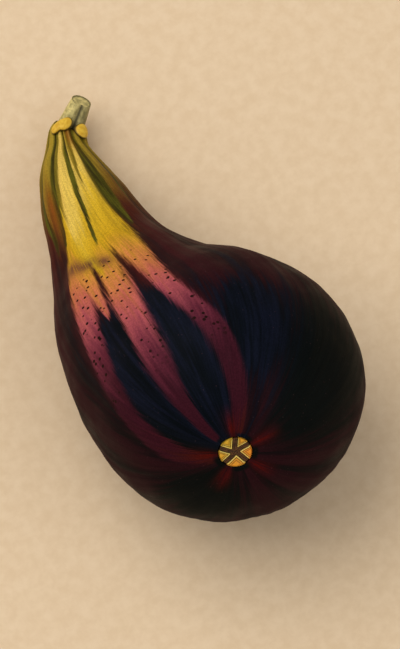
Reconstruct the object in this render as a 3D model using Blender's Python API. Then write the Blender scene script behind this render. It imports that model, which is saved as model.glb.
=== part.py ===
"""Fresh fig, picked ripe and laid on its side.

The solids are the ribbed fruit, a cut stub of its stalk, two basal bracts where the stalk
joins, and the closed eye: five outer scales round a star of inner ones.

Frame: metres, +Z up. The origin is the centre of the flat patch that the bulb rests on.
The neck runs towards +Y, and the eye looks towards -Y, upwards and a little to -X.
Lengths are in millimetres up to the point where a mesh is made.
"""

import math

import bmesh
import bpy
import numpy as np

MM = 0.001

# The bulb, and the balls whose outer skin is the whole fruit, from the neck's tip to the bulb
BULB_RADIUS = 26.0
SETTLE = 1.0
BULB_CENTRE = np.array((0.0, 0.0, BULB_RADIUS - SETTLE))
BODY = np.array((
    # x, y, z, radius
    (-0.3, 64.3, 3.6, 3.5),
    (-1.8, 61.0, 4.4, 4.1),
    (-3.8, 54.3, 7.3, 6.3),
    (-4.9, 46.5, 10.6, 8.5),
    (-5.9, 37.4, 13.9, 10.4),
    (-6.5, 27.0, 17.6, 13.7),
    (-5.9, 15.6, 21.4, 18.7),
    (-3.9, 7.6, 23.2, 22.3),
    (*BULB_CENTRE, BULB_RADIUS),
))
TIP_CENTRE = BODY[0, :3]
TIP_RADIUS = BODY[0, 3]
EYE_AXIS = (-0.272, -0.732, 0.625)
NECK_AXIS = (-0.20, -0.93, 0.30)
CORE_BENDS = ((-8.5, 40.0, 10.0), (1.0, 6.0, 20.0))
# Lopsided bulb: direction from its centre, share of the radius, spread in degrees
SWELLS = (
    ((0.763, 0.567, 0.310), -0.040, 24.0),
    ((0.832, -0.553, -0.042), 0.022, 25.0),
    ((-0.800, -0.600, 0.000), 0.010, 18.0),
)

# Ribs: four on top follow their own paths and the rest share the space round the back
RIB_STATIONS = (0.0, 0.1, 0.3, 0.5, 0.7, 0.85, 1.0)
TOP_RIBS = (
    # degrees round the fruit from its top at each station, neck to eye
    (14, 20, 36, 50, 61, 77, 108),
    (6, 9, 20, 29, 34, 38, 44),
    (-6, -3, 9, 14, 9, -5, -14),
    (-34, -30, -20, -10, -14, -33, -48),
)
BACK_RIBS = 9
RIB_HEIGHT = 0.45
RIB_WIDTH_SHARE = 0.33
BULB_RIB_SHARE = 0.45

# The eye: a shallow basin with a flat-bottomed pit that the scales fill
EYE_RADIUS = 3.1
EYE_BASIN = 0.9
EYE_BASIN_RADIUS = 7.0
PIT_CLEARANCE = 0.25
PIT_WALL = 0.35
PIT_FLOOR = 23.95
ARM_ANGLES = (90.0, 162.0, 229.0, 318.0, 394.0)
ARM_HALF_WIDTH = 0.45
SCALE_CLEARANCE = 0.06
EYE_SWIRL = 14.0
SCALE_HEIGHT = 1.15
STAR_HEIGHT = 0.95

# The stalk: a stub with a groove down one side, cut across obliquely
STALK_AXIS = (0.707, 0.529, 0.469)
STALK_CUT_NORMAL = (0.600, 0.370, 0.709)
STALK_SEAT = 1.75
STALK_LENGTH = 5.25
STALK_BASE_RADIUS = 2.55
STALK_TOP_RADIUS = 1.92
STALK_GROOVE_SIDE = (0.05, -0.45, 0.85)
STALK_GROOVE_DEPTH = 0.30
STALK_GROOVE_SPREAD = 0.36
SEAT_GAP = 0.15

# Basal bracts: direction from the tip's centre, long-axis direction, half length and width
BRACT_THICKNESS = 1.1
BRACT_GAP = 0.18
LEFT_BRACT = ((-0.174, 0.196, 0.965), (0.986, 0.002, 0.163), 2.50, 1.45)
RIGHT_BRACT = ((0.560, -0.360, 0.746), (0.715, -0.264, -0.645), 1.65, 1.35)
LEFT_BRACT_NOTCH = (-110.0, 0.42)

FRUIT_RINGS = 56
FRUIT_SEGMENTS = 65
BALLS = 160


def unit(vectors):
    vectors = np.asarray(vectors, dtype=float)
    return vectors / np.linalg.norm(vectors, axis=-1, keepdims=True)


def ease(x):
    """0 below 0, 1 above 1, and smooth between."""
    x = np.clip(x, 0.0, 1.0)
    return x * x * (3.0 - 2.0 * x)


EYE = unit(EYE_AXIS)
NECK = unit(NECK_AXIS)
STALK = unit(STALK_AXIS)


def smooth_path(points, count):
    """A cubic through the rows of points, spaced by how far apart their centres are."""
    steps = np.linalg.norm(np.diff(points[:, :3], axis=0), axis=1)
    knots = np.concatenate(([0.0], np.cumsum(steps)))
    at = np.linspace(0.0, knots[-1], count)
    slopes = np.gradient(points, knots, axis=0)
    left = np.clip(np.searchsorted(knots, at, side="right") - 1, 0, len(knots) - 2)
    width = (knots[left + 1] - knots[left])[:, None]
    t = (at - knots[left])[:, None] / width
    start = (2 * t**3 - 3 * t**2 + 1) * points[left] + (t**3 - 2 * t**2 + t) * width * slopes[left]
    end = (3 * t**2 - 2 * t**3) * points[left + 1] + (t**3 - t**2) * width * slopes[left + 1]
    return start + end


BODY_BALLS = smooth_path(BODY, BALLS)


def core_line(count=800):
    """A Bezier from the neck's tip to the eye, inside the fruit."""
    tip = TIP_CENTRE - NECK * TIP_RADIUS
    eye = BULB_CENTRE + EYE * BULB_RADIUS
    bend_a, bend_b = np.array(CORE_BENDS)
    t = np.linspace(0.0, 1.0, count)[:, None]
    return (1 - t)**3 * tip + 3 * t * (1 - t)**2 * bend_a + 3 * t**2 * (1 - t) * bend_b + t**3 * eye


CORE = core_line()
CORE_LENGTHS = np.concatenate(([0.0], np.cumsum(np.linalg.norm(np.diff(CORE, axis=0), axis=1))))


def reach(origins, directions):
    """How far each ray goes before it leaves the last ball."""
    distance = np.zeros(directions.shape[:-1])
    for ball in BODY_BALLS:
        offset = origins - ball[:3]
        along = (offset * directions).sum(-1)
        inside = along**2 - (offset**2).sum(-1) + ball[3]**2
        leaves = -along + np.sqrt(np.maximum(inside, 0.0))
        distance = np.maximum(distance, np.where(inside > 0.0, leaves, 0.0))
    return distance


def ring_rays(lengths, angles):
    """Origins and directions of rays out of the core, one ring of them at each length.

    Angle 0 points up, and a quarter turn points towards -X.
    """
    origins = np.stack([np.interp(lengths, CORE_LENGTHS, CORE[:, k]) for k in range(3)], axis=1)
    turn = ease((lengths / CORE_LENGTHS[-1] - 0.05) / 0.95)[:, None]
    forward = unit(NECK * (1 - turn) + EYE * turn)
    up = np.array((0.0, 0.0, 1.0))
    top = unit(up - (forward @ up)[:, None] * forward)
    side = np.cross(forward, top)
    directions = np.cos(angles)[None, :, None] * top[:, None] + np.sin(angles)[None, :, None] * side[:, None]
    return origins[:, None], directions


def ring_lengths(count, crowding):
    """Core lengths of the rings, evenly spaced along the skin and closer at the eye's rim."""
    lengths = np.linspace(0.0, CORE_LENGTHS[-1], 500)
    origins, directions = ring_rays(lengths, np.linspace(0.0, 2 * math.pi, 12, endpoint=False))
    radius = reach(origins, directions).mean(axis=1)
    step = np.hypot(np.diff(lengths), np.diff(radius))
    near_eye = lengths[1:] > CORE_LENGTHS[-1] / 2
    rim = np.exp(-((radius[1:] - EYE_RADIUS - 0.3) / 0.7)**2) * near_eye
    along = np.concatenate(([0.0], np.cumsum(step)))
    spread = np.concatenate(([0.0], np.cumsum(step * (1 + crowding * rim))))
    at = np.interp(np.linspace(0.0, spread[-1], count), spread, lengths)
    return at, np.interp(at, lengths, along / along[-1])


def rib_angles(along):
    """Where each rib's crest runs, in radians, as one column for each rib."""
    top = [np.polyval(np.polyfit(RIB_STATIONS, row, 5), along) for row in TOP_RIBS]
    first, last = top[0], top[-1] + 360.0
    back = [first + (last - first) * k / (BACK_RIBS + 1) for k in range(1, BACK_RIBS + 1)]
    return np.radians(np.stack(top + back, axis=-1))


def rib_relief(angles, along):
    """Height of the ribs, 0 in the furrows and 1 on the crests."""
    crests = rib_angles(along)
    order = np.sort(np.mod(crests, 2 * math.pi), axis=1)
    spacing = np.diff(np.concatenate((order, order[:, :1] + 2 * math.pi), axis=1), axis=1)
    relief = np.zeros((len(along), len(angles)))
    for k in range(order.shape[1]):
        width = RIB_WIDTH_SHARE * np.minimum(spacing[:, k], spacing[:, k - 1])[:, None]
        away = np.mod(angles[None, :] - order[:, k:k + 1] + math.pi, 2 * math.pi) - math.pi
        relief = np.maximum(relief, np.exp(-(away / width)**2))
    return relief


def swell(points):
    """Push the bulb's skin in or out to make it lopsided."""
    outward = unit(points - BULB_CENTRE)
    scale = np.ones(points.shape[:-1])
    for direction, share, spread in SWELLS:
        angle = np.degrees(np.arccos(np.clip(outward @ unit(direction), -1.0, 1.0)))
        scale += share * np.exp(-0.5 * (angle / spread)**2)
    return BULB_CENTRE + (points - BULB_CENTRE) * scale[..., None]


def sink_eye(points):
    """Sink the basin and the pit at the eye."""
    height = (points - BULB_CENTRE) @ EYE
    flat = points - BULB_CENTRE - height[..., None] * EYE
    out = np.linalg.norm(flat, axis=-1)
    facing = ease(height / (0.5 * BULB_RADIUS))
    sunk = height - EYE_BASIN * np.exp(-(out / EYE_BASIN_RADIUS)**2) * facing
    pit = 1.0 - ease((out - EYE_RADIUS - PIT_CLEARANCE) / PIT_WALL)
    sunk = sunk * (1 - pit * facing) + PIT_FLOOR * pit * facing
    return points + (sunk - height)[..., None] * EYE


def press_flat(points, point, normal):
    """Bring whatever lies beyond a plane back onto it."""
    beyond = np.maximum((points - point) @ np.asarray(normal), 0.0)
    return points - beyond[..., None] * np.asarray(normal)


def fruit_rings(count, segments):
    """The fruit's skin as rings of points from the neck's tip to the eye."""
    lengths, along = ring_lengths(count, crowding=4.0)
    angles = np.linspace(0.0, 2 * math.pi, segments, endpoint=False)
    origins, directions = ring_rays(lengths, angles)
    fade = ease(along / 0.12) * ease((1 - along) / 0.14)
    height = RIB_HEIGHT * fade * (1 - (1 - BULB_RIB_SHARE) * ease((along - 0.45) / 0.2))
    relief = (rib_relief(angles, along) - 0.6) * height[:, None]
    distance = reach(origins, directions) + relief
    distance[0] = 0.0
    distance[-1] = 0.0
    points = sink_eye(swell(origins + distance[..., None] * directions))
    points = press_flat(points, TIP_CENTRE + STALK * STALK_SEAT, STALK)
    return points


def mesh_from_rings(rings, first, last):
    """A closed mesh: rings of points, and a single point at each end."""
    bm = bmesh.new()
    rows = [[bm.verts.new(point * MM) for point in ring] for ring in rings]
    count = len(rings[0])
    for a, b in zip(rows, rows[1:]):
        for k in range(count):
            n = (k + 1) % count
            bm.faces.new((a[k], a[n], b[n], b[k]))
    for pole, row in ((first, rows[0]), (last, rows[-1])):
        tip = bm.verts.new(pole * MM)
        for k in range(count):
            bm.faces.new((tip, row[k], row[(k + 1) % count]))
    bmesh.ops.recalc_face_normals(bm, faces=bm.faces)
    return bm


def add_object(name, bm, material):
    mesh = bpy.data.meshes.new(name)
    bm.to_mesh(mesh)
    bm.free()
    mesh.shade_smooth()
    mesh.materials.append(material)
    obj = bpy.data.objects.new(name, mesh)
    bpy.context.scene.collection.objects.link(obj)
    return obj


def make_material(name, colour, roughness):
    material = bpy.data.materials.new(name)
    material.use_nodes = True
    shader = material.node_tree.nodes["Principled BSDF"]
    shader.inputs["Base Color"].default_value = (*colour, 1.0)
    shader.inputs["Roughness"].default_value = roughness
    shader.inputs["Metallic"].default_value = 0.0
    return material


def make_fruit():
    rings = fruit_rings(FRUIT_RINGS, FRUIT_SEGMENTS)
    bm = mesh_from_rings(rings[1:-1], rings[0].mean(axis=0), rings[-1].mean(axis=0))
    everything = bm.verts[:] + bm.edges[:] + bm.faces[:]
    cut = bmesh.ops.bisect_plane(
        bm, geom=everything, dist=1e-7, plane_co=(0, 0, 0), plane_no=(0, 0, -1), clear_outer=True)
    rim = [edge for edge in cut["geom_cut"] if isinstance(edge, bmesh.types.BMEdge)]
    bmesh.ops.contextual_create(bm, geom=rim)
    bmesh.ops.recalc_face_normals(bm, faces=bm.faces)
    add_object("fruit", bm, make_material("fig_skin", (0.060, 0.012, 0.030), 0.45))


def make_stalk():
    """A grooved stub from the flat seat on the neck's tip up to the oblique cut."""
    base = TIP_CENTRE + STALK * (STALK_SEAT + SEAT_GAP)
    groove = np.asarray(STALK_GROOVE_SIDE)
    groove = unit(groove - (groove @ STALK) * STALK)
    side = np.cross(STALK, groove)
    turn = np.linspace(-math.pi, math.pi, 32, endpoint=False)
    notch = 1.0 - STALK_GROOVE_DEPTH * np.exp(-(turn / STALK_GROOVE_SPREAD)**2)
    section = notch[:, None] * (np.cos(turn)[:, None] * groove + np.sin(turn)[:, None] * side)
    cut = unit(STALK_CUT_NORMAL)
    top = base + STALK * STALK_LENGTH
    rings = []
    for share in (0.0, 0.15, 0.4, 0.7, 1.0):
        radius = STALK_BASE_RADIUS + (STALK_TOP_RADIUS - STALK_BASE_RADIUS) * share
        ring = base + section * radius
        room = ((top - ring) @ cut) / (STALK @ cut)
        rings.append(ring + STALK * room[:, None] * share)
    inner = top + (rings[-1] - top) * 0.8 - STALK * 0.12
    bm = mesh_from_rings(rings + [inner], base, top - STALK * 0.12)
    add_object("stalk", bm, make_material("stalk_skin", (0.50, 0.44, 0.22), 0.65))


def collar_distance(directions):
    """How far from the tip's centre the neck and the foot of the stalk reach."""
    neck = reach(TIP_CENTRE, directions)
    tilt = np.arccos(np.clip(directions @ STALK, -1.0, 1.0))
    stalk = STALK_BASE_RADIUS / np.sin(np.maximum(tilt, 0.4))
    return (neck**8 + stalk**8)**0.125


def make_bract(name, shape, notch_angle, notch_depth, material):
    """A plump pad that hugs the neck's tip and the foot of the stalk."""
    middle, long_axis, half_length, half_width = shape
    middle = unit(middle)
    long_axis = unit(np.asarray(long_axis) - (long_axis @ middle) * middle)
    wide_axis = np.cross(middle, long_axis)
    turn = np.linspace(0.0, 2 * math.pi, 28, endpoint=False)
    away = np.mod(turn - math.radians(notch_angle) + math.pi, 2 * math.pi) - math.pi
    size = 1.0 - notch_depth * np.exp(-(away / 0.42)**2)
    radius = TIP_RADIUS + BRACT_THICKNESS / 2

    def skin(share, lift):
        across = (np.cos(turn) * half_length)[:, None] * long_axis
        across = across + (np.sin(turn) * half_width)[:, None] * wide_axis
        ray = unit(middle * radius + across * (size * share)[:, None])
        return TIP_CENTRE + ray * (collar_distance(ray) + BRACT_GAP + lift)[:, None]

    rings = [skin(share, 0.0) for share in (0.35, 0.7, 0.94)]
    for tilt in (15, 40, 62, 80):
        rings.append(skin(math.cos(math.radians(tilt)), BRACT_THICKNESS * math.sin(math.radians(tilt))))
    under = TIP_CENTRE + middle * (collar_distance(middle[None])[0] + BRACT_GAP)
    bm = mesh_from_rings(rings, under, under + middle * BRACT_THICKNESS)
    add_object(name, bm, material)


def swirl(x, y):
    """Turn a point of the eye about its middle, less the nearer it is to the rim."""
    out = math.hypot(x, y)
    turn = math.radians(EYE_SWIRL) * (1 - min(out / EYE_RADIUS, 1.0))**2
    return x * math.cos(turn) - y * math.sin(turn), x * math.sin(turn) + y * math.cos(turn)


def eye_axes():
    """The eye's own right and up, in the plane across its axis."""
    right = np.array((0.891, -0.454, 0.0))
    right = unit(right - (right @ EYE) * EYE)
    return right, np.cross(EYE, right)


def eye_points(outline, height):
    right, up = eye_axes()
    centre = BULB_CENTRE + EYE * (PIT_FLOOR + height)
    turned = np.array([swirl(x, y) for x, y in outline])
    return centre + turned[:, :1] * right + turned[:, 1:] * up


def polar(angle, radius):
    return np.array((math.cos(math.radians(angle)), math.sin(math.radians(angle)))) * radius


def straight(start, end, count):
    return [start + (end - start) * k / count for k in range(count)]


def layered_solid(outline, centre, layers):
    """Stack one outline, shrunk about its centre by each layer's share, at each height."""
    rings = [eye_points(centre + (outline - centre) * share, height) for share, height in layers]
    bottom = eye_points([centre], layers[0][1])[0]
    top = eye_points([centre], layers[-1][1] + 0.03)[0]
    return mesh_from_rings(rings, bottom, top)


def scale_outline(start, end):
    """The wedge between two arms, whose sides keep clear of both."""
    keep_off = ARM_HALF_WIDTH + SCALE_CLEARANCE
    rim = EYE_RADIUS
    trim = math.degrees(math.asin(keep_off / rim))
    middle = (start + end) / 2
    tip = polar(middle, keep_off / math.sin(math.radians((end - start) / 2)))
    first = polar(start + trim, rim)
    last = polar(end - trim, rim)
    steps = 7
    arc = [polar(start + trim + (end - start - 2 * trim) * k / steps, rim) for k in range(steps)]
    points = straight(tip, first, 5) + arc + straight(last, tip, 5)
    return np.array(points), polar(middle, rim * 0.66)


def star_outline(angles):
    """Five parallel-sided arms that meet in the middle."""
    points = []
    rim = EYE_RADIUS - 0.12
    trim = math.degrees(math.asin(ARM_HALF_WIDTH / rim))
    for angle, following in zip(angles, angles[1:] + (angles[0] + 360.0,)):
        half = math.radians((following - angle) / 2)
        notch = polar((following + angle) / 2, ARM_HALF_WIDTH / math.sin(half))
        start, end = polar(angle + trim, rim), polar(following - trim, rim)
        points += [polar(angle, rim + 0.03)]
        points += straight(start, notch, 4) + straight(notch, end, 4) + [end]
    return np.array(points)


def make_eye():
    scale_colour = make_material("eye_scale_skin", (0.70, 0.36, 0.05), 0.5)
    ends = ARM_ANGLES[1:] + (ARM_ANGLES[0] + 360.0,)
    for number, (start, end) in enumerate(zip(ARM_ANGLES, ends), start=1):
        outline, centre = scale_outline(start, end)
        layers = ((0.92, SEAT_GAP), (1.0, 0.45), (0.95, 0.90), (0.70, SCALE_HEIGHT))
        add_object(f"eye_scale_{number}", layered_solid(outline, centre, layers), scale_colour)
    layers = ((0.97, SEAT_GAP), (1.0, 0.40), (0.80, STAR_HEIGHT))
    star = layered_solid(star_outline(ARM_ANGLES), np.zeros(2), layers)
    add_object("eye_inner_scales", star, make_material("eye_inner_skin", (0.11, 0.05, 0.02), 0.7))


def main():
    for obj in list(bpy.data.objects):
        bpy.data.objects.remove(obj)
    make_fruit()
    make_stalk()
    bract_skin = make_material("bract_skin", (0.62, 0.40, 0.05), 0.5)
    notch_angle, notch_depth = LEFT_BRACT_NOTCH
    make_bract("basal_bract_left", LEFT_BRACT, notch_angle, notch_depth, bract_skin)
    make_bract("basal_bract_right", RIGHT_BRACT, 0.0, 0.0, bract_skin)
    make_eye()


main()
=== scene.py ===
"""The looks of the fresh fig: its skin, stalk, bracts and eye as fine meshes over the fixed frame.

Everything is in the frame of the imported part: metres, +Z up, with the origin under the bulb.
The fruit's shape repeats the driving dimensions of the part, in millimetres, and a finer
relief and the colours of a ripe, ribbed skin are worked out on top of it.
"""

import math

import bmesh
import bpy
import numpy as np
from mathutils import Matrix, Vector


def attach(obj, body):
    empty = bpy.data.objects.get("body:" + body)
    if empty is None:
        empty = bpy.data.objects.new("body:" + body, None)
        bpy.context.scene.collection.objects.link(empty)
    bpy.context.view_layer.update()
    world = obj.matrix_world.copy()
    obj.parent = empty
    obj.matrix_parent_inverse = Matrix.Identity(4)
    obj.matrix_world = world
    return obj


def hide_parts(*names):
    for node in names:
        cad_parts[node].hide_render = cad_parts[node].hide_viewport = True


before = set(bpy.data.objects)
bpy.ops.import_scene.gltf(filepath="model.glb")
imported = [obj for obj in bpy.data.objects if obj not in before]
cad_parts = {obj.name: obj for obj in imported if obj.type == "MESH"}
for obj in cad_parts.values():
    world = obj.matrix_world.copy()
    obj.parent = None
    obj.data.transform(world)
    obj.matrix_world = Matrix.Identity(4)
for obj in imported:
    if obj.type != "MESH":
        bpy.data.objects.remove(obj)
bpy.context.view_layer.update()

MM = 0.001

# ---------------------------------------------------------------- the part's driving dimensions
BULB_RADIUS = 26.0
SETTLE = 1.0
BULB_CENTRE = np.array((0.0, 0.0, BULB_RADIUS - SETTLE))
BODY = np.array((
    # x, y, z, radius
    (-0.3, 64.3, 3.6, 3.5),
    (-1.8, 61.0, 4.4, 4.1),
    (-3.8, 54.3, 7.3, 6.3),
    (-4.9, 46.5, 10.6, 8.5),
    (-5.9, 37.4, 13.9, 10.4),
    (-6.5, 27.0, 17.6, 13.7),
    (-5.9, 15.6, 21.4, 18.7),
    (-3.9, 7.6, 23.2, 22.3),
    (*BULB_CENTRE, BULB_RADIUS),
))
TIP_CENTRE = BODY[0, :3]
TIP_RADIUS = BODY[0, 3]
EYE_AXIS = (-0.272, -0.732, 0.625)
NECK_AXIS = (-0.20, -0.93, 0.30)
CORE_BENDS = ((-8.5, 40.0, 10.0), (1.0, 6.0, 20.0))
SWELLS = (
    ((0.763, 0.567, 0.310), -0.040, 24.0),
    ((0.832, -0.553, -0.042), 0.022, 25.0),
    ((-0.800, -0.600, 0.000), 0.010, 18.0),
)
RIB_STATIONS = (0.0, 0.1, 0.3, 0.5, 0.7, 0.85, 1.0)
TOP_RIBS = (
    (14, 20, 36, 50, 61, 77, 108),
    (6, 9, 20, 29, 34, 38, 44),
    (-6, -3, 9, 14, 9, -5, -14),
    (-34, -30, -20, -10, -14, -33, -48),
)
BACK_RIBS = 9
RIB_HEIGHT = 0.45
RIB_WIDTH_SHARE = 0.33
BULB_RIB_SHARE = 0.45

EYE_RADIUS = 3.1
EYE_BASIN = 0.9
EYE_BASIN_RADIUS = 7.0
SKIN_PIT_WALL = 0.18
PIT_FLOOR = 23.95
ARM_ANGLES = (90.0, 162.0, 229.0, 318.0, 394.0)
ARM_HALF_WIDTH = 0.45
SCALE_CLEARANCE = 0.06
EYE_SWIRL = 14.0
EYE_RIGHT = (0.891, -0.454, 0.0)

STALK_AXIS = (0.707, 0.529, 0.469)
STALK_CUT_NORMAL = (0.600, 0.370, 0.709)
STALK_SEAT = 1.75
STALK_LENGTH = 5.25
STALK_BASE_RADIUS = 2.55
STALK_TOP_RADIUS = 1.92
STALK_GROOVE_SIDE = (0.05, -0.45, 0.85)
STALK_GROOVE_DEPTH = 0.30
STALK_GROOVE_SPREAD = 0.36
SEAT_GAP = 0.15

BRACT_THICKNESS = 1.1
BRACT_GAP = 0.18
LEFT_BRACT = ((-0.174, 0.196, 0.965), (0.986, 0.002, 0.163), 2.50, 1.45)
RIGHT_BRACT = ((0.560, -0.360, 0.746), (0.715, -0.264, -0.645), 1.65, 1.35)
LEFT_BRACT_NOTCH = (-110.0, 0.42)

# ---------------------------------------------------------------- fine meshes
SKIN_RINGS = 326
SKIN_SEGMENTS = 300
BALLS = 160

# Strips of the skin: middle and half width, in degrees round the fruit, at each station
# along it. The pale ribs, then how far along the colours each one is ahead of the rest.
STRIP_STATIONS = np.linspace(0.0, 1.0, 11)
PALE_RIBS = (
    ((15, 22, 28, 34, 36, 34, 33, 34, 37, 41, 45), (4, 5, 5.5, 6, 5, 2, 0, 0, 0, 0, 0)),
    ((20, 18, 24, 27, 29, 28, 28, 28, 28, 28, 28), (0, 0, 5, 9, 10, 3, 0, 0, 0, 0, 0)),
    ((40, 40, 41, 43, 45, 49, 53, 61, 71, 88, 108), (0, 0, 0, 3, 5, 5.5, 6.5, 6, 6.5, 11, 14)),
    ((40, 40, 40, 40, 41, 41.5, 43, 44, 45, 45, 45), (0, 0, 0, 0, 2, 4.5, 2.5, 0, 0, 0, 0)),
    ((9, 11, 15, 19, 25, 28.5, 31, 33.5, 36, 41, 45), (0, 1.5, 4.5, 7, 7, 6, 6.5, 7, 8, 7, 9)),
    ((-8, -3, 4, 8, 11, 12, 11.5, 9, -1, -8, -13), (2.0, 3, 4.5, 8, 10, 7.5, 5.5, 5, 7, 8, 12)),
)
PALE_RIB_LEADS = (-0.24, -0.03, 0.03, -0.04, -0.05, -0.01)
GREEN_LINES = (
    ((7, 12, 17, 22, 26, 30, 30, 30, 30, 30, 30), (2.5, 2.8, 3.2, 2.2, 1.2, 0, 0, 0, 0, 0, 0)),
    ((28, 36, 42, 46, 49, 50, 50, 50, 50, 50, 50), (4, 4, 3.5, 3.0, 0, 0, 0, 0, 0, 0, 0)),
    ((-14, -12, -9, -6, -4, 0, 0, 0, 0, 0, 0), (4, 6, 8, 5, 0, 0, 0, 0, 0, 0, 0)),
    ((60, 62, 62, 58, 57, 60, 60, 60, 60, 60, 60), (2, 2.5, 3, 3, 0, 0, 0, 0, 0, 0, 0)),
    ((-40, -36, -32, -28, -24, 0, 0, 0, 0, 0, 0), (3, 3.5, 3, 0, 0, 0, 0, 0, 0, 0, 0)),
)
# Patches of the skin: middle and spread round the fruit in degrees and along it
BLACK_PATCHES = (
    (-17.0, 0.77, 15.0, 0.10),
    (-66.0, 0.80, 38.0, 0.18),
    (150.0, 0.90, 44.0, 0.10),
)
SMUDGE = ((48.0, 0.450, 7.0, 0.030), (38.0, 0.475, 7.0, 0.022), (29.0, 0.505, 5.0, 0.022))
RUSSET = ((-3.0, 0.06, 8.0, 0.05), (50.0, 0.24, 5.0, 0.07))
EYE_RAYS = (2.0, 92.0, 155.0, 230.0, 293.0)


def unit(vectors):
    vectors = np.asarray(vectors, dtype=float)
    return vectors / np.linalg.norm(vectors, axis=-1, keepdims=True)


def ease(x):
    """0 below 0, 1 above 1, and smooth between."""
    x = np.clip(x, 0.0, 1.0)
    return x * x * (3.0 - 2.0 * x)


EYE = unit(EYE_AXIS)
NECK = unit(NECK_AXIS)
STALK = unit(STALK_AXIS)


def smooth_path(points, count):
    """A cubic through the rows of points, spaced by how far apart their centres are."""
    steps = np.linalg.norm(np.diff(points[:, :3], axis=0), axis=1)
    knots = np.concatenate(([0.0], np.cumsum(steps)))
    at = np.linspace(0.0, knots[-1], count)
    return cubic(knots, points, at)


def cubic(knots, values, at):
    """Values between the knots, on a cubic with the slopes of its neighbours."""
    slopes = np.gradient(values, knots, axis=0)
    left = np.clip(np.searchsorted(knots, at, side="right") - 1, 0, len(knots) - 2)
    width = (knots[left + 1] - knots[left])[:, None]
    t = (at - knots[left])[:, None] / width
    start = (2 * t**3 - 3 * t**2 + 1) * values[left] + (t**3 - 2 * t**2 + t) * width * slopes[left]
    end = (3 * t**2 - 2 * t**3) * values[left + 1] + (t**3 - t**2) * width * slopes[left + 1]
    return start + end


BODY_BALLS = smooth_path(BODY, BALLS)


def core_line(count=800):
    """A Bezier from the neck's tip to the eye, inside the fruit."""
    tip = TIP_CENTRE - NECK * TIP_RADIUS
    eye = BULB_CENTRE + EYE * BULB_RADIUS
    bend_a, bend_b = np.array(CORE_BENDS)
    t = np.linspace(0.0, 1.0, count)[:, None]
    return (1 - t)**3 * tip + 3 * t * (1 - t)**2 * bend_a + 3 * t**2 * (1 - t) * bend_b + t**3 * eye


CORE = core_line()
CORE_LENGTHS = np.concatenate(([0.0], np.cumsum(np.linalg.norm(np.diff(CORE, axis=0), axis=1))))


def reach(origins, directions):
    """How far each ray goes before it leaves the last ball."""
    distance = np.zeros(directions.shape[:-1])
    for ball in BODY_BALLS:
        offset = origins - ball[:3]
        along = (offset * directions).sum(-1)
        inside = along**2 - (offset**2).sum(-1) + ball[3]**2
        leaves = -along + np.sqrt(np.maximum(inside, 0.0))
        distance = np.maximum(distance, np.where(inside > 0.0, leaves, 0.0))
    return distance


def ring_rays(lengths, angles):
    """Origins and directions of rays out of the core, one ring of them at each length."""
    origins = np.stack([np.interp(lengths, CORE_LENGTHS, CORE[:, k]) for k in range(3)], axis=1)
    turn = ease((lengths / CORE_LENGTHS[-1] - 0.05) / 0.95)[:, None]
    forward = unit(NECK * (1 - turn) + EYE * turn)
    up = np.array((0.0, 0.0, 1.0))
    top = unit(up - (forward @ up)[:, None] * forward)
    side = np.cross(forward, top)
    directions = np.cos(angles)[None, :, None] * top[:, None] + np.sin(angles)[None, :, None] * side[:, None]
    return origins[:, None], directions


def ring_lengths(count, crowding):
    """Core lengths of the rings, evenly spaced along the skin and closer at the eye's rim."""
    lengths = np.linspace(0.0, CORE_LENGTHS[-1], 500)
    origins, directions = ring_rays(lengths, np.linspace(0.0, 2 * math.pi, 12, endpoint=False))
    radius = reach(origins, directions).mean(axis=1)
    step = np.hypot(np.diff(lengths), np.diff(radius))
    near_eye = lengths[1:] > CORE_LENGTHS[-1] / 2
    rim = np.exp(-((radius[1:] - EYE_RADIUS - 0.3) / 0.7)**2) * near_eye
    along = np.concatenate(([0.0], np.cumsum(step)))
    spread = np.concatenate(([0.0], np.cumsum(step * (1 + crowding * rim))))
    at = np.interp(np.linspace(0.0, spread[-1], count), spread, lengths)
    return at, np.interp(at, lengths, along / along[-1])


def rib_angles(along):
    """Where each rib's crest runs, in radians, as one column for each rib."""
    top = [np.polyval(np.polyfit(RIB_STATIONS, row, 5), along) for row in TOP_RIBS]
    first, last = top[0], top[-1] + 360.0
    back = [first + (last - first) * k / (BACK_RIBS + 1) for k in range(1, BACK_RIBS + 1)]
    return np.radians(np.stack(top + back, axis=-1))


def wrap(angles):
    return np.mod(angles + math.pi, 2 * math.pi) - math.pi


def rib_relief(angles, along):
    """Height of the ribs, 0 in the furrows and 1 on the crests."""
    order = np.sort(np.mod(rib_angles(along), 2 * math.pi), axis=1)
    spacing = np.diff(np.concatenate((order, order[:, :1] + 2 * math.pi), axis=1), axis=1)
    relief = np.zeros((len(along), len(angles)))
    for k in range(order.shape[1]):
        width = RIB_WIDTH_SHARE * np.minimum(spacing[:, k], spacing[:, k - 1])[:, None]
        away = wrap(angles[None, :] - order[:, k:k + 1])
        relief = np.maximum(relief, np.exp(-(away / width)**2))
    return relief


def swell(points):
    """Push the bulb's skin in or out to make it lopsided."""
    outward = unit(points - BULB_CENTRE)
    scale = np.ones(points.shape[:-1])
    for direction, share, spread in SWELLS:
        angle = np.degrees(np.arccos(np.clip(outward @ unit(direction), -1.0, 1.0)))
        scale += share * np.exp(-0.5 * (angle / spread)**2)
    return BULB_CENTRE + (points - BULB_CENTRE) * scale[..., None]


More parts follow.
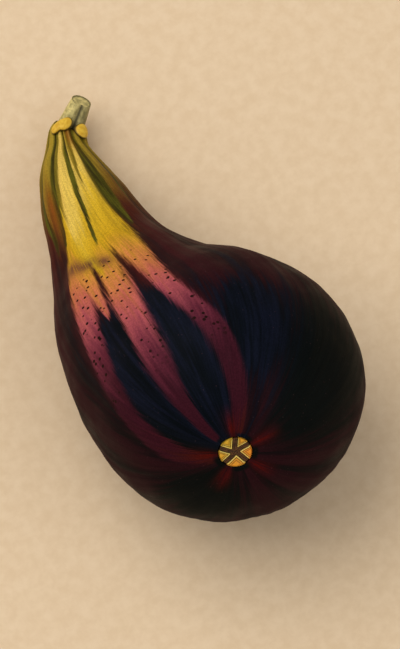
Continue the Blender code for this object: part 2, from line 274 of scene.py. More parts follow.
def sink_eye(points):
    """Sink the basin and the pit at the eye."""
    height = (points - BULB_CENTRE) @ EYE
    flat = points - BULB_CENTRE - height[..., None] * EYE
    out = np.linalg.norm(flat, axis=-1)
    facing = ease(height / (0.5 * BULB_RADIUS))
    sunk = height - EYE_BASIN * np.exp(-(out / EYE_BASIN_RADIUS)**2) * facing
    pit = 1.0 - ease((out - EYE_RADIUS - 0.02) / SKIN_PIT_WALL)
    sunk = sunk * (1 - pit * facing) + PIT_FLOOR * pit * facing
    return points + (sunk - height)[..., None] * EYE


def press_flat(points, point, normal):
    """Bring whatever lies beyond a plane back onto it."""
    beyond = np.maximum((points - point) @ np.asarray(normal), 0.0)
    return points - beyond[..., None] * np.asarray(normal)


# ---------------------------------------------------------------- the skin
VEIN_WAVES = range(26, 74, 3)


def fine_veins(angles, along):
    """Thin lengthwise veins: waves round the fruit that drift as they run along it."""
    rng = np.random.default_rng(7)
    veins = np.zeros((len(along), len(angles)))
    for waves in VEIN_WAVES:
        phase, drift = rng.uniform(0, 2 * math.pi), rng.normal(0, 5.0)
        veins += np.cos(waves * angles[None, :] + phase + drift * along[:, None])
    return veins / 4.0


def ripple(points, seed, count, shortest, longest):
    """Slow bumps in space: a sum of plane waves."""
    rng = np.random.default_rng(seed)
    total = np.zeros(points.shape[:-1])
    for _ in range(count):
        direction = unit(rng.normal(size=3))
        length = rng.uniform(shortest, longest)
        total += np.sin(points @ direction * 2 * math.pi / length + rng.uniform(0, 2 * math.pi))
    return total / math.sqrt(count)


def degrees_from(angles, middle):
    """How far round the fruit each point is from a middle, in degrees either way."""
    return np.mod(np.degrees(angles)[None, :] - middle + 180.0, 360.0) - 180.0


def strips(angles, along, courses):
    """How much each point lies on each strip, 0 to 1."""
    masks = []
    for middle, half_width in courses:
        course = cubic(STRIP_STATIONS, np.array((middle, half_width), dtype=float).T, along)
        width = np.maximum(course[:, 1:], 0.1)
        away = np.abs(degrees_from(angles, course[:, :1])) / width
        masks.append((1.0 - ease((away - 0.35) / 1.2)) * ease((width - 0.4) / 1.2))
    return np.array(masks)


def patches(angles, along, places):
    """A sum of soft patches on the skin, up to 1."""
    total = np.zeros((len(along), len(angles)))
    for middle, station, wide, long in places:
        away = (degrees_from(angles, middle) / wide)**2 + ((along[:, None] - station) / long)**2
        total += np.exp(-away)
    return np.minimum(total, 1.0)


def between_bands(angles, along):
    """Where the dark strips between the pale ribs run, 0 to 1."""
    first = cubic(STRIP_STATIONS, np.array([PALE_RIBS[5][0]], dtype=float).T, along)
    last = cubic(STRIP_STATIONS, np.array([PALE_RIBS[2][0]], dtype=float).T, along)
    inside = ease(degrees_from(angles, first) / 6.0) * ease(-degrees_from(angles, last) / 6.0)
    return inside * ease((along - 0.56) / 0.16)[:, None]


def skin_points():
    lengths, along = ring_lengths(SKIN_RINGS, crowding=2.0)
    angles = np.linspace(0.0, 2 * math.pi, SKIN_SEGMENTS, endpoint=False)
    origins, directions = ring_rays(lengths, angles)
    fade = (ease(along / 0.12) * ease((1 - along) / 0.14))[:, None]
    relief = rib_relief(angles, along)
    distance = reach(origins, directions)
    plain = origins + distance[..., None] * directions
    height = RIB_HEIGHT * fade * (1 - (1 - BULB_RIB_SHARE) * ease((along - 0.45) / 0.2))[:, None]
    lift = (relief - 0.6) * height
    lift += 0.035 * fine_veins(angles, along) * fade
    lift += 0.05 * ripple(plain, 3, 14, 5.0, 14.0) * fade
    distance = distance + lift
    distance[0] = 0.0
    distance[-1] = 0.0
    points = sink_eye(swell(origins + distance[..., None] * directions))
    points = press_flat(points, TIP_CENTRE + STALK * STALK_SEAT, STALK)
    points = press_flat(points, np.zeros(3), (0.0, 0.0, -1.0))
    return points, angles, along, relief


def ripening_and_side_shade_front(angles):
    """Where along the fruit the green neck gives way to the dark skin. The front is partly ripening and
    partly painted light and shade: later on the top that faces the light, sooner down the shaded sides.
    """
    degrees = np.degrees(wrap(angles))
    return 0.27 + 0.23 * np.exp(-((degrees - 23.0) / 26.0)**2)


def mesh_from_rings(rings, first, last):
    """A closed mesh: rings of points, and a single point at each end. Points are in ring order."""
    count = len(rings[0])
    points = np.concatenate([np.reshape(rings, (-1, 3)), [first, last]])
    faces = []
    for r in range(len(rings) - 1):
        a, b = r * count, (r + 1) * count
        faces += [(a + k, a + (k + 1) % count, b + (k + 1) % count, b + k) for k in range(count)]
    start, end = len(points) - 2, len(points) - 1
    base = (len(rings) - 1) * count
    faces += [(start, (k + 1) % count, k) for k in range(count)]
    faces += [(end, base + k, base + (k + 1) % count) for k in range(count)]
    return points, faces


def add_mesh(name, points, faces, material):
    mesh = bpy.data.meshes.new(name)
    mesh.from_pydata([tuple(point) for point in points * MM], [], faces)
    bm = bmesh.new()
    bm.from_mesh(mesh)
    bmesh.ops.recalc_face_normals(bm, faces=bm.faces)
    bm.to_mesh(mesh)
    bm.free()
    mesh.shade_smooth()
    mesh.materials.append(material)
    obj = bpy.data.objects.new(name, mesh)
    bpy.context.scene.collection.objects.link(obj)
    return obj


def add_attribute(obj, name, values):
    """Store one number, or one vector, for each point of the mesh."""
    values = np.asarray(values, dtype=np.float32)
    kind, field = ("FLOAT", "value") if values.ndim == 1 else ("FLOAT_VECTOR", "vector")
    attribute = obj.data.attributes.new(name, kind, "POINT")
    attribute.data.foreach_set(field, values.ravel())


def with_poles(field, first, last):
    """A field on the rings, as a flat list with the two end points added."""
    return np.concatenate([np.reshape(field, (-1,) + np.shape(field)[2:]), [first], [last]])


# ---------------------------------------------------------------- shader helpers
class Graph:
    """Builds a material's nodes in a few words."""

    def __init__(self, name):
        self.material = bpy.data.materials.new(name)
        self.material.use_nodes = True
        self.tree = self.material.node_tree
        self.shader = self.tree.nodes["Principled BSDF"]

    def node(self, kind, **settings):
        made = self.tree.nodes.new(kind)
        for key, value in settings.items():
            setattr(made, key, value)
        return made

    def feed(self, socket, value):
        if isinstance(value, bpy.types.NodeSocket):
            self.tree.links.new(value, socket)
        elif isinstance(value, tuple) and len(value) == 3 and socket.type == "RGBA":
            socket.default_value = (*value, 1.0)
        else:
            socket.default_value = value

    def attribute(self, name, output="Fac"):
        return self.node("ShaderNodeAttribute", attribute_name=name).outputs[output]

    def math(self, operation, a, b=0.0, clamp=False):
        made = self.node("ShaderNodeMath", operation=operation, use_clamp=clamp)
        self.feed(made.inputs[0], a)
        self.feed(made.inputs[1], b)
        return made.outputs[0]

    def scaled(self, vector, scale):
        made = self.node("ShaderNodeVectorMath", operation="MULTIPLY")
        self.feed(made.inputs[0], vector)
        self.feed(made.inputs[1], scale)
        return made.outputs[0]

    def noise(self, vector, scale, detail=4.0, roughness=0.55):
        made = self.node("ShaderNodeTexNoise")
        self.feed(made.inputs["Vector"], vector)
        made.inputs["Scale"].default_value = scale
        made.inputs["Detail"].default_value = detail
        made.inputs["Roughness"].default_value = roughness
        return made.outputs["Fac"]

    def spots(self, vector, scale, randomness=1.0):
        made = self.node("ShaderNodeTexVoronoi", feature="F1")
        self.feed(made.inputs["Vector"], vector)
        made.inputs["Scale"].default_value = scale
        made.inputs["Randomness"].default_value = randomness
        return made.outputs["Distance"]

    def remap(self, value, low, high, to_low=0.0, to_high=1.0):
        made = self.node("ShaderNodeMapRange", interpolation_type="SMOOTHSTEP")
        self.feed(made.inputs["Value"], value)
        made.inputs["From Min"].default_value = low
        made.inputs["From Max"].default_value = high
        made.inputs["To Min"].default_value = to_low
        made.inputs["To Max"].default_value = to_high
        return made.outputs["Result"]

    def mix(self, share, a, b, blend="MIX"):
        made = self.node("ShaderNodeMix", data_type="RGBA", blend_type=blend)
        self.feed(made.inputs[0], share)
        self.feed(made.inputs[6], a)
        self.feed(made.inputs[7], b)
        return made.outputs[2]

    def ramp(self, value, stops):
        made = self.node("ShaderNodeValToRGB")
        self.feed(made.inputs["Fac"], value)
        elements = made.color_ramp.elements
        while len(elements) < len(stops):
            elements.new(0.5)
        for element, (position, colour) in zip(elements, stops):
            element.position = position
            element.color = (*srgb(colour), 1.0)
        return made.outputs["Color"]

    def bump(self, height, distance, strength=1.0, normal=None):
        made = self.node("ShaderNodeBump")
        self.feed(made.inputs["Height"], height)
        made.inputs["Distance"].default_value = distance
        made.inputs["Strength"].default_value = strength
        if normal is not None:
            self.feed(made.inputs["Normal"], normal)
        return made.outputs["Normal"]

    def finish(self, colour, roughness, normal=None, specular=0.3):
        self.feed(self.shader.inputs["Base Color"], colour)
        self.feed(self.shader.inputs["Roughness"], roughness)
        self.shader.inputs["Specular IOR Level"].default_value = specular
        if normal is not None:
            self.feed(self.shader.inputs["Normal"], normal)
        return self.material


def srgb(colour):
    """A screen colour of three numbers up to 255, as the linear values that shaders take."""
    share = np.asarray(colour, dtype=float) / 255.0
    linear = np.where(share <= 0.04045, share / 12.92, ((share + 0.055) / 1.055)**2.4)
    return tuple(float(value) for value in linear)


# ---------------------------------------------------------------- materials
SKIN_IOR = 1.2
WANDER_SHARE = 0.16


def skin_material():
    """Pale ribs and dark furrows that ripen from the green neck to the eye. The furrows are darker partly in
    their own colour and partly as painted shade, and painted shade also darkens the sides and a ring round
    the eye.
    """
    g = Graph("fig_skin")
    along = g.attribute("along")
    ripeness_and_side_shade = g.attribute("ripeness_and_side_shade")
    pale = g.attribute("pale")
    furrow = g.attribute("furrow")
    flow = g.attribute("flow", "Vector")
    place = g.attribute("place", "Vector")

    streaks = g.noise(flow, 1.0, detail=4.0, roughness=0.6)
    hatching = g.noise(g.scaled(flow, (4.0, 4.0, 1.6)), 1.0, detail=4.0, roughness=0.75)
    blotches = g.noise(place, 0.16, detail=3.0)
    grain = g.noise(place, 3.0, detail=3.0, roughness=0.7)
    wander = g.math("SUBTRACT", g.math("ADD", streaks, hatching), 1.0)

    drift = g.math("MULTIPLY", wander, WANDER_SHARE)
    rib_place = g.math("ADD", g.math("ADD", along, g.attribute("lead")), drift)
    rib_colour = g.ramp(rib_place, (
        (0.00, (224, 190, 90)),
        (0.18, (222, 188, 82)),
        (0.26, (206, 168, 40)),
        (0.38, (196, 154, 26)),
        (0.46, (196, 142, 42)),
        (0.53, (196, 120, 66)),
        (0.59, (180, 94, 76)),
        (0.65, (162, 76, 82)),
        (0.70, (122, 52, 64)),
        (0.75, (84, 30, 44)),
        (0.81, (54, 17, 28)),
        (0.92, (52, 15, 25)),
        (1.00, (60, 20, 10)),
    ))
    # the ground colour follows ripening and the painted side shade
    skin_place = g.math("ADD", g.math("ADD", ripeness_and_side_shade, 0.5), drift)
    skin_colour = g.ramp(skin_place, (
        (0.10, (172, 146, 48)),
        (0.34, (150, 124, 38)),
        (0.44, (112, 78, 26)),
        (0.50, (78, 34, 20)),
        (0.56, (62, 18, 16)),
        (0.64, (58, 18, 22)),
        (0.80, (46, 14, 20)),
        (1.00, (38, 13, 18)),
    ))
    # colour in the furrows, darker partly in the skin's own colour and partly as painted shade in the creases
    furrow_colour_and_shade = g.ramp(skin_place, (
        (0.10, (120, 106, 30)),
        (0.38, (104, 88, 22)),
        (0.46, (74, 44, 16)),
        (0.54, (44, 15, 13)),
        (0.66, (34, 12, 17)),
        (1.00, (22, 9, 13)),
    ))
    in_furrow = g.remap(g.math("ADD", furrow, g.math("MULTIPLY", wander, 1.4)), 0.25, 0.95)
    ground = g.mix(in_furrow, skin_colour, furrow_colour_and_shade)

    navy = g.mix(g.remap(streaks, 0.35, 0.65), srgb((5, 9, 15)), srgb((14, 18, 32)))
    green_black = g.mix(g.remap(blotches, 0.35, 0.65), srgb((6, 10, 9)), srgb((9, 13, 12)))
    black = g.mix(g.attribute("navy"), green_black, navy)
    # the black field is partly dark skin and partly painted shade, in the furrows and round the eye
    blackness = g.math("ADD", g.attribute("black"), g.math("MULTIPLY", wander, 0.8))
    ground = g.mix(g.remap(blackness, 0.22, 0.72), ground, black)

    edge = g.math("ADD", pale, g.math("MULTIPLY", wander, 1.3))
    on_rib = g.math("MULTIPLY", g.remap(edge, 0.15, 0.80), g.remap(pale, 0.02, 0.15))
    colour = g.mix(on_rib, ground, rib_colour)
    on_line = g.math("ADD", g.attribute("green"), g.math("MULTIPLY", wander, 1.6))
    in_line = g.math("MULTIPLY", g.remap(on_line, 0.25, 0.85), g.remap(g.attribute("green"), 0.02, 0.15))
    line_colour = g.mix(g.remap(streaks, 0.38, 0.66), srgb((48, 42, 12)), srgb((88, 86, 20)))
    colour = g.mix(in_line, colour, line_colour)
    colour = g.mix(g.math("MULTIPLY", g.attribute("russet"), 0.8), colour, srgb((130, 66, 20)))
    smudge = g.math("MULTIPLY", g.attribute("smudge"), g.remap(hatching, 0.30, 0.55))
    colour = g.mix(g.math("MULTIPLY", smudge, 0.90), colour, srgb((96, 58, 44)))

    glow = g.math("MULTIPLY", g.attribute("glow"), g.remap(wander, -0.30, 0.20))
    colour = g.mix(glow, colour, srgb((82, 12, 6)))

    dots = g.remap(g.spots(g.attribute("unrolled", "Vector"), 0.60), 0.235, 0.165)
    colour = g.mix(g.math("MULTIPLY", dots, g.attribute("dotted")), colour, srgb((30, 12, 8)))
    specks = g.remap(g.spots(place, 0.9), 0.085, 0.045)
    speck_share = g.math("MULTIPLY", g.math("MULTIPLY", specks, g.attribute("ripe_and_side_shade_area")), 0.25)
    colour = g.mix(speck_share, colour, srgb((110, 76, 78)))
    shade = g.math("MULTIPLY", g.remap(grain, 0.3, 0.7, 0.80, 1.16), g.remap(hatching, 0.3, 0.7, 0.80, 1.2))
    tint = g.node("ShaderNodeCombineColor")
    for channel in range(3):
        g.feed(tint.inputs[channel], shade)
    colour = g.mix(1.0, colour, tint.outputs[0], blend="MULTIPLY")

    roughness = g.remap(g.math("ADD", blotches, g.math("MULTIPLY", grain, 0.3)), 0.4, 0.9, 0.46, 0.64)
    normal = g.bump(grain, 0.00006, 0.5)
    normal = g.bump(streaks, 0.00014, 0.5, normal)
    g.shader.inputs["IOR"].default_value = SKIN_IOR
    return g.finish(colour, roughness, normal, specular=0.15)


def wedge_material():
    """Nested V-shaped edges on each yellow scale, from a pale rim to an orange middle, with dark lines of
    painted shade in the grooves between the edges and down the sides.
    """
    g = Graph("eye_scale_skin")
    place = g.attribute("place", "Vector")
    mottle = g.noise(place, 2.2, detail=4.0)
    share = g.math("ADD", g.attribute("layer"), g.math("MULTIPLY", g.math("SUBTRACT", mottle, 0.5), 0.08))
    # the dark stops are painted shade: they fall in the grooves between the nested edges and on the sides
    # that drop into the gaps
    orange = g.ramp(share, (
        (0.00, (236, 150, 34)),
        (0.42, (226, 138, 30)),
        (0.50, (128, 72, 14)),
        (0.56, (230, 158, 44)),
        (0.68, (222, 140, 34)),
        (0.76, (104, 58, 12)),
        (0.87, (240, 200, 92)),
        (0.95, (244, 210, 112)),
        (1.00, (60, 36, 8)),
    ))
    yellow = g.ramp(share, (
        (0.00, (226, 178, 40)),
        (0.42, (208, 164, 36)),
        (0.50, (110, 84, 14)),
        (0.56, (214, 176, 52)),
        (0.68, (180, 150, 34)),
        (0.76, (86, 66, 12)),
        (0.87, (234, 204, 92)),
        (0.95, (238, 212, 112)),
        (1.00, (56, 44, 10)),
    ))
    colour = g.mix(g.attribute("warmth"), yellow, orange)
    return g.finish(colour, 0.5, g.bump(mottle, 0.00006, 0.5), specular=0.3)


def plain_material(name, dark, light, scale, roughness, specular=0.3):
    """Two tones that a fine noise mixes, for the small pieces, and painted shade that darkens them where the
    rim field says.
    """
    g = Graph(name)
    place = g.attribute("place", "Vector")
    mottle = g.noise(place, scale, detail=5.0, roughness=0.65)
    rim = g.attribute("rim")
    colour = g.mix(g.remap(mottle, 0.3, 0.7), srgb(dark), srgb(light))
    # painted shade: down towards a third of the dark tone where the rim field is high
    colour = g.mix(rim, colour, srgb(tuple(channel * 0.35 for channel in dark)))
    normal = g.bump(mottle, 0.00008, 0.6)
    return g.finish(colour, roughness, normal, specular)


# ---------------------------------------------------------------- pieces
# distances out from the eye's axis, in millimetres
GLOW_REACH = 10.5
GLOW_FADE = 6.5
# how far out from the eye's axis the painted shade round the pit reaches, and how far it fades
EYE_PIT_SHADE_REACH = 3.6
EYE_PIT_SHADE_FADE = 1.4
# degrees round the fruit
RAY_WIDTH = 11.0
NAVY_MIDDLE = 15.0
NAVY_HALF_WIDTH = 40.0
NAVY_FADE = 30.0
# shares of the way along the fruit
DOTTED_FROM = 0.47
DOTTED_TO = 0.76
# the skin rolled out flat for the dots, in millimetres
UNROLLED_RADIUS = 22.0
UNROLLED_LENGTH = 118.0
# how finely the streaks vary round and along the fruit: larger is finer
FLOW_RADIUS = 14.0
FLOW_LENGTH = 7.0


def make_skin():
    points, angles, along, relief = skin_points()
    rings = points[1:-1]
    first, last = points[0].mean(axis=0), points[-1].mean(axis=0)
    mesh_points, faces = mesh_from_rings(rings, first, last)
    obj = add_mesh("fruit_skin", mesh_points, faces, skin_material())

    ribs = strips(angles, along, PALE_RIBS)
    pale = np.max(ribs, axis=0)
    lead = np.tensordot(PALE_RIB_LEADS, ribs, axes=1) / (np.sum(ribs, axis=0) + 0.05)
    green = np.max(strips(angles, along, GREEN_LINES), axis=0)
    along_field = np.repeat(along[:, None], len(angles), axis=1)
    # ripeness along the fruit, with painted side shade: the top stays pale longer and the sides turn dark
    # sooner
    ripeness_and_side_shade = np.clip(along_field - ripening_and_side_shade_front(angles)[None, :], -0.5, 0.5)
    height = (points - BULB_CENTRE) @ EYE
    out = np.linalg.norm(points - BULB_CENTRE - height[..., None] * EYE, axis=-1)
    rays = np.max([np.exp(-(degrees_from(angles, ray) / RAY_WIDTH)**2) for ray in EYE_RAYS], axis=0)
    near_eye = ease((GLOW_REACH - out) / GLOW_FADE) * (height > 0)
    # painted shade in a ring round the eye's pit
    ring = 1 - ease((out - EYE_PIT_SHADE_REACH) / EYE_PIT_SHADE_FADE)
    # ripe skin, which takes in the painted side shade too
    ripe = ease((ripeness_and_side_shade - 0.10) / 0.2)
    black = np.maximum(between_bands(angles, along), patches(angles, along, BLACK_PATCHES))
    # blacker in the furrows of ripe skin: painted shade
    black = np.maximum(black, 0.45 * (1 - relief) * ripe)
    # near-black painted shade round the eye's pit, broken by the dark red rays
    black = np.maximum(black, 0.9 * ring * (height > 0)) * (1 - 0.8 * near_eye * rays)
    dotted = ease((pale - 0.2) / 0.3) * ease((along_field - DOTTED_FROM) / 0.05)
    dotted *= 1 - ease((along_field - DOTTED_TO) / 0.08)
    across = degrees_from(angles, 0.0) / 360.0 * 2 * math.pi * UNROLLED_RADIUS
    every_point = np.ones_like(along_field)
    from_navy = np.abs(degrees_from(angles, NAVY_MIDDLE))
    fields = {
        "along": along_field,
        "ripeness_and_side_shade": ripeness_and_side_shade,
        # no pale ribs inside the painted shade round the eye
        "pale": pale * (1 - ring * (height > 0)),
        "lead": lead,
        "furrow": 1 - relief,
        "green": green,
        "black": black,
        "navy": 1 - ease((from_navy - NAVY_HALF_WIDTH) / NAVY_FADE) * every_point,
        "glow": near_eye * rays * (1 - 0.5 * ring),
        "smudge": patches(angles, along, SMUDGE),
        "russet": patches(angles, along, RUSSET),
        "dotted": dotted,
        "ripe_and_side_shade_area": ripe * (1 - pale),
        "flow": np.stack([
            FLOW_RADIUS * np.cos(angles)[None, :] * every_point,
            FLOW_RADIUS * np.sin(angles)[None, :] * every_point,
            FLOW_LENGTH * along_field,
        ], axis=-1),
        "unrolled": np.stack([across * every_point, UNROLLED_LENGTH * along_field, 0 * along_field], axis=-1),
        "place": points,
    }
    for name, field in fields.items():
        add_attribute(obj, name, with_poles(field[1:-1], field[0].mean(axis=0), field[-1].mean(axis=0)))
    settle_piece(obj, "fruit_skin", "fruit")


def settle_piece(obj, slot, *nodes):
    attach(obj, "root")
    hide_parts(*nodes)


def add_small_fields(obj, points, rim):
    add_attribute(obj, "place", points)
    # the rim field holds how much painted shade each point takes
    add_attribute(obj, "rim", rim)


def stalk_section(count):
    """The outline across the stalk, with its groove, in units of its radius."""
    groove = np.asarray(STALK_GROOVE_SIDE)
    groove = unit(groove - (groove @ STALK) * STALK)
    side = np.cross(STALK, groove)
    turn = np.linspace(-math.pi, math.pi, count, endpoint=False)
    notch = 1.0 - STALK_GROOVE_DEPTH * np.exp(-(turn / STALK_GROOVE_SPREAD)**2)
    fibres = 1.0 + 0.012 * np.cos(17 * turn + 1.0) + 0.008 * np.cos(29 * turn)
    section = (notch * fibres)[:, None] * (np.cos(turn)[:, None] * groove + np.sin(turn)[:, None] * side)
    return section, turn


def make_stalk(material):
    base = TIP_CENTRE + STALK * (STALK_SEAT + SEAT_GAP)
    section, turn = stalk_section(96)
    cut = unit(STALK_CUT_NORMAL)
    top = base + STALK * STALK_LENGTH
    rings, painted_shade = [], []
    for share in np.linspace(0.0, 1.0, 28):
        radius = STALK_BASE_RADIUS + (STALK_TOP_RADIUS - STALK_BASE_RADIUS) * share
        ring = base + section * radius
        room = ((top - ring) @ cut) / (STALK @ cut)
        rings.append(ring + STALK * room[:, None] * share)
        # painted shade down the stalk's groove and, weaker, over the side turned away from the light
        shaded_side = ease((turn - 0.15) / 0.3) * (1 - ease((turn - 1.9) / 0.6))
        painted_shade.append(np.maximum(np.exp(-((turn - 0.05) / 0.24)**2) * 0.9, 0.45 * shaded_side))
    edge = rings[-1]
    for share, sink in ((0.96, 0.03), (0.90, 0.10), (0.80, 0.13), (0.6, 0.08), (0.4, 0.14), (0.2, 0.10)):
        rings.append(top + (edge - top) * share - STALK * sink)
        # painted shade on the sloping edge inside the cut end
        painted_shade.append(np.full(len(turn), 0.7 if share > 0.85 else 0.0))
    points, faces = mesh_from_rings(rings, base, top - STALK * 0.1)
    obj = add_mesh("stalk_stub", points, faces, material)
    add_small_fields(obj, points, with_poles(painted_shade, 0.0, 0.0))
    settle_piece(obj, "stalk_skin", "stalk")


def collar_distance(directions):
    """How far from the tip's centre the neck and the foot of the stalk reach."""
    neck = reach(TIP_CENTRE, directions)
    tilt = np.arccos(np.clip(directions @ STALK, -1.0, 1.0))
    stalk = STALK_BASE_RADIUS / np.sin(np.maximum(tilt, 0.4))
    return (neck**8 + stalk**8)**0.125


def make_bract(name, node, shape, notch_angle, notch_depth, material):
    """A plump pad that hugs the neck's tip and the foot of the stalk."""
    middle, long_axis, half_length, half_width = shape
    middle = unit(middle)
    long_axis = unit(np.asarray(long_axis) - (long_axis @ middle) * middle)
    wide_axis = np.cross(middle, long_axis)
    turn = np.linspace(0.0, 2 * math.pi, 96, endpoint=False)
    size = 1.0 - notch_depth * np.exp(-(wrap(turn - math.radians(notch_angle)) / 0.42)**2)
    radius = TIP_RADIUS + BRACT_THICKNESS / 2

    def skin(share, lift):
        across = (np.cos(turn) * half_length)[:, None] * long_axis
        across = across + (np.sin(turn) * half_width)[:, None] * wide_axis
        ray = unit(middle * radius + across * (size * share)[:, None])
        return TIP_CENTRE + ray * (collar_distance(ray) + BRACT_GAP + lift)[:, None]

    rings = [skin(share, 0.0) for share in (0.3, 0.6, 0.85, 0.96)]
    # painted shadow line under the bract's edge: the lowest rings dark, fading up its side
    painted_shade = [np.ones(len(turn))] * 4
    for tilt in (8, 18, 28, 38, 48, 58, 67, 75, 82, 86):
        angle = math.radians(tilt)
        rings.append(skin(math.cos(angle), BRACT_THICKNESS * math.sin(angle)))
        painted_shade.append(np.full(len(turn), float(1 - ease((tilt - 24) / 14))))
    under = TIP_CENTRE + middle * (collar_distance(middle[None])[0] + BRACT_GAP)
    points, faces = mesh_from_rings(rings, under, under + middle * BRACT_THICKNESS)
    obj = add_mesh(name, points, faces, material)
    add_small_fields(obj, points, with_poles(painted_shade, 1.0, 0.0))
    settle_piece(obj, "bract_skin", node)


def polar(angle, radius):
    return np.array((math.cos(math.radians(angle)), math.sin(math.radians(angle)))) * radius


def straight(start, end, count):
    return [start + (end - start) * k / count for k in range(count)]


def eye_points(outline, height):
    """Place a flat outline in the eye, turned about its middle, less the nearer the rim."""
    right = np.array(EYE_RIGHT)
    right = unit(right - (right @ EYE) * EYE)
    up = np.cross(EYE, right)
    x, y = np.asarray(outline).T
    turn = math.radians(EYE_SWIRL) * (1 - np.minimum(np.hypot(x, y) / EYE_RADIUS, 1.0))**2
    across = x * np.cos(turn) - y * np.sin(turn)
    upward = x * np.sin(turn) + y * np.cos(turn)
    centre = BULB_CENTRE + EYE * (PIT_FLOOR + height)
    return centre + across[:, None] * right + upward[:, None] * up


def scale_outline(start, end):
    """The wedge between two arms, whose sides keep clear of both."""
    keep_off = ARM_HALF_WIDTH + SCALE_CLEARANCE
    trim = math.degrees(math.asin(keep_off / EYE_RADIUS))
    middle = (start + end) / 2
    tip = polar(middle, keep_off / math.sin(math.radians((end - start) / 2)))
    first, last = polar(start + trim, EYE_RADIUS), polar(end - trim, EYE_RADIUS)
    steps = 24
    arc = [polar(start + trim + (end - start - 2 * trim) * k / steps, EYE_RADIUS) for k in range(steps)]
    points = straight(tip, first, 16) + arc + straight(last, tip, 16)
    return np.array(points)


def star_outline(angles, half_width, rim):
    """Five parallel-sided arms that meet in the middle."""
    points = []
    trim = math.degrees(math.asin(half_width / rim))
    for angle, following in zip(angles, angles[1:] + (angles[0] + 360.0,)):
        half = math.radians((following - angle) / 2)
        notch = polar((following + angle) / 2, half_width / math.sin(half))
        start, end = polar(angle + trim, rim), polar(following - trim, rim)
        points += [polar(angle, rim + 0.03)]
        points += straight(start, notch, 14) + straight(notch, end, 14) + [end]
    return np.array(points)


SCALE_LAYERS = (
    # share of the outline, height above the pit's floor
    (0.94, 0.15), (1.00, 0.45), (1.00, 0.85), (0.98, 1.02), (0.94, 1.12), (0.88, 1.13), (0.83, 1.05),
    (0.78, 0.95), (0.74, 0.95), (0.69, 1.03), (0.62, 1.10), (0.57, 1.06), (0.52, 0.98), (0.48, 0.98),
    (0.43, 1.06), (0.34, 1.12), (0.2, 1.15),
)
SCALE_WARMTH = (0.1, 0.3, 0.7, 1.0, 0.5)
STAR_LAYERS = (
    # half width of an arm, height above the pit's floor, how dark the painted shade is, darkest low down and
    # in the dips between the ridges
    (0.44, 0.15, 1.0), (0.45, 0.45, 1.0), (0.44, 0.78, 0.9), (0.39, 0.90, 0.3), (0.33, 0.92, 0.0),
    (0.27, 0.84, 0.6), (0.22, 0.84, 0.6), (0.17, 0.92, 0.0), (0.11, 0.93, 0.1), (0.06, 0.85, 0.7),
    (0.02, 0.85, 0.7),
)


def make_scale(number, start, end, material):
    outline = scale_outline(start, end)
    centre = polar((start + end) / 2, EYE_RADIUS * 0.93)
    rings = [eye_points(centre + (outline - centre) * share, height) for share, height in SCALE_LAYERS]
    on_rim = ease((np.linalg.norm(outline, axis=1) / EYE_RADIUS - 0.93) / 0.05)
    layers = [share * (1 - 0.36 * on_rim) for share, _ in SCALE_LAYERS]
    top, bottom = SCALE_LAYERS[-1][1], SCALE_LAYERS[0][1]
    ends = eye_points([centre], bottom)[0], eye_points([centre], top)[0]
    points, faces = mesh_from_rings(rings, *ends)
    obj = add_mesh(f"eye_outer_scale_{number}", points, faces, material)
    add_attribute(obj, "place", points)
    add_attribute(obj, "layer", with_poles(layers, 1.0, 0.1))
    add_attribute(obj, "warmth", np.full(len(points), SCALE_WARMTH[number - 1]))
    settle_piece(obj, "eye_scale_skin", f"eye_scale_{number}")


def make_star(material):
    rim = EYE_RADIUS - 0.12
    rings = [eye_points(star_outline(ARM_ANGLES, width, rim), height) for width, height, _ in STAR_LAYERS]
    painted_shade = [np.full(len(rings[0]), dark) for _, _, dark in STAR_LAYERS]
    middle = [np.zeros(2)]
    ends = eye_points(middle, STAR_LAYERS[0][1])[0], eye_points(middle, STAR_LAYERS[-1][1])[0]
    points, faces = mesh_from_rings(rings, *ends)
    obj = add_mesh("eye_star", points, faces, material)
    add_small_fields(obj, points, with_poles(painted_shade, 1.0, 0.7))
    settle_piece(obj, "eye_inner_skin", "eye_inner_scales")


def make_eye():
    scale_skin = wedge_material()
    ends = ARM_ANGLES[1:] + (ARM_ANGLES[0] + 360.0,)
    for number, (start, end) in enumerate(zip(ARM_ANGLES, ends), start=1):
        make_scale(number, start, end, scale_skin)
    make_star(plain_material("eye_inner_skin", (62, 34, 12), (122, 78, 34), 1.6, 0.65))


# ---------------------------------------------------------------- the studio
LOOK_DOWN = math.radians(70.0)
LOOK_ROUND = math.radians(-27.0)
LENS = 900.0
SENSOR = 36.0
VIEW_HEIGHT = 0.12096
AIM_RIGHT = -4.29 * MM
AIM_UP = 10.72 * MM
CLIP_END = 100.0

# offset from the fig to the right, up and back; side; watts; colour
KEY_LIGHT = ((-0.45, 0.40, 0.60), 0.9, 5.3, (1.0, 0.98, 0.95))
FILL_LIGHT = ((0.50, -0.20, 0.55), 0.8, 1.5, (0.95, 0.97, 1.0))
SKY_COLOUR = (1.0, 0.98, 0.95, 1.0)
SKY_STRENGTH = 0.44
FLOOR_HALF = 3.0
FLOOR_DROP = 0.0001


def view_axes():
    right = Vector((math.cos(LOOK_ROUND), math.sin(LOOK_ROUND), 0.0))
    forward = Vector((-math.sin(LOOK_ROUND), math.cos(LOOK_ROUND), 0.0))
    up = Vector((0.0, 0.0, 1.0)) * math.cos(LOOK_DOWN) + forward * math.sin(LOOK_DOWN)
    return right, up, right.cross(up)


def add_camera():
    right, up, back = view_axes()
    data = bpy.data.cameras.new("camera")
    data.lens = LENS
    data.sensor_width = SENSOR
    data.clip_end = CLIP_END
    camera = bpy.data.objects.new("camera", data)
    bpy.context.scene.collection.objects.link(camera)
    aim = Vector(BULB_CENTRE * MM) + right * AIM_RIGHT + up * AIM_UP
    turn = Matrix((right, up, back)).transposed().to_4x4()
    camera.matrix_world = Matrix.Translation(aim + back * (VIEW_HEIGHT * LENS / SENSOR)) @ turn
    bpy.context.scene.camera = camera


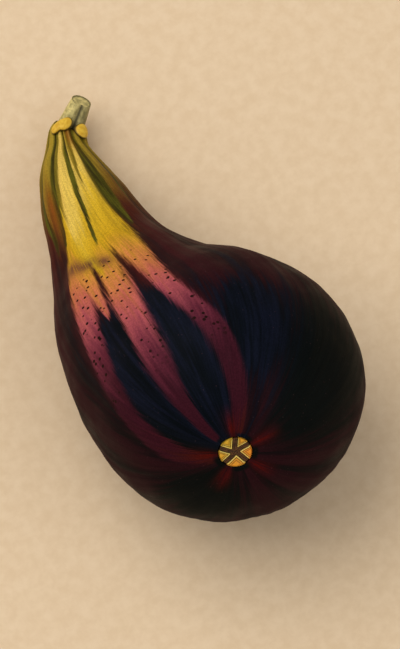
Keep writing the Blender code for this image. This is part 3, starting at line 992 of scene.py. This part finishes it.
def add_light(name, offset, size, energy, colour):
    """A square soft light, placed by how far it is right, up and back of the fig."""
    right, up, back = view_axes()
    aim = Vector(BULB_CENTRE * MM)
    data = bpy.data.lights.new(name, "AREA")
    data.size = size
    data.energy = energy
    data.color = colour
    light = bpy.data.objects.new(name, data)
    bpy.context.scene.collection.objects.link(light)
    place = aim + right * offset[0] + up * offset[1] + back * offset[2]
    turn = (place - aim).to_track_quat("Z", "Y").to_matrix().to_4x4()
    light.matrix_world = Matrix.Translation(place) @ turn


def add_floor():
    g = Graph("floor_paper")
    place = g.node("ShaderNodeTexCoord").outputs["Object"]
    mottle = g.noise(place, 420.0, detail=4.0, roughness=0.6)
    colour = g.mix(g.remap(mottle, 0.25, 0.75), srgb((226, 198, 162)), srgb((234, 208, 174)))
    material = g.finish(colour, 0.9, g.bump(mottle, 0.0001, 0.25), specular=0.1)
    half = FLOOR_HALF
    corners = [(-half, -half, 0), (half, -half, 0), (half, half, 0), (-half, half, 0)]
    mesh = bpy.data.meshes.new("floor")
    mesh.from_pydata(corners, [], [(0, 1, 2, 3)])
    mesh.materials.append(material)
    floor = bpy.data.objects.new("floor", mesh)
    floor.location.z = -FLOOR_DROP
    bpy.context.scene.collection.objects.link(floor)


def add_world():
    world = bpy.data.worlds.new("studio")
    bpy.context.scene.world = world
    world.use_nodes = True
    background = world.node_tree.nodes["Background"]
    background.inputs["Color"].default_value = SKY_COLOUR
    background.inputs["Strength"].default_value = SKY_STRENGTH


def add_studio():
    add_world()
    add_light("key", *KEY_LIGHT)
    add_light("fill", *FILL_LIGHT)
    bpy.context.scene.view_settings.view_transform = "Standard"
    add_floor()
    add_camera()


make_skin()
make_stalk(plain_material("stalk_skin", (150, 138, 84), (222, 204, 132), 0.9, 0.65))
bract_skin = plain_material("bract_skin", (206, 158, 34), (232, 190, 62), 1.2, 0.5)
make_bract("bract_kidney", "basal_bract_left", LEFT_BRACT, *LEFT_BRACT_NOTCH, bract_skin)
make_bract("bract_round", "basal_bract_right", RIGHT_BRACT, 0.0, 0.0, bract_skin)
make_eye()
add_studio()
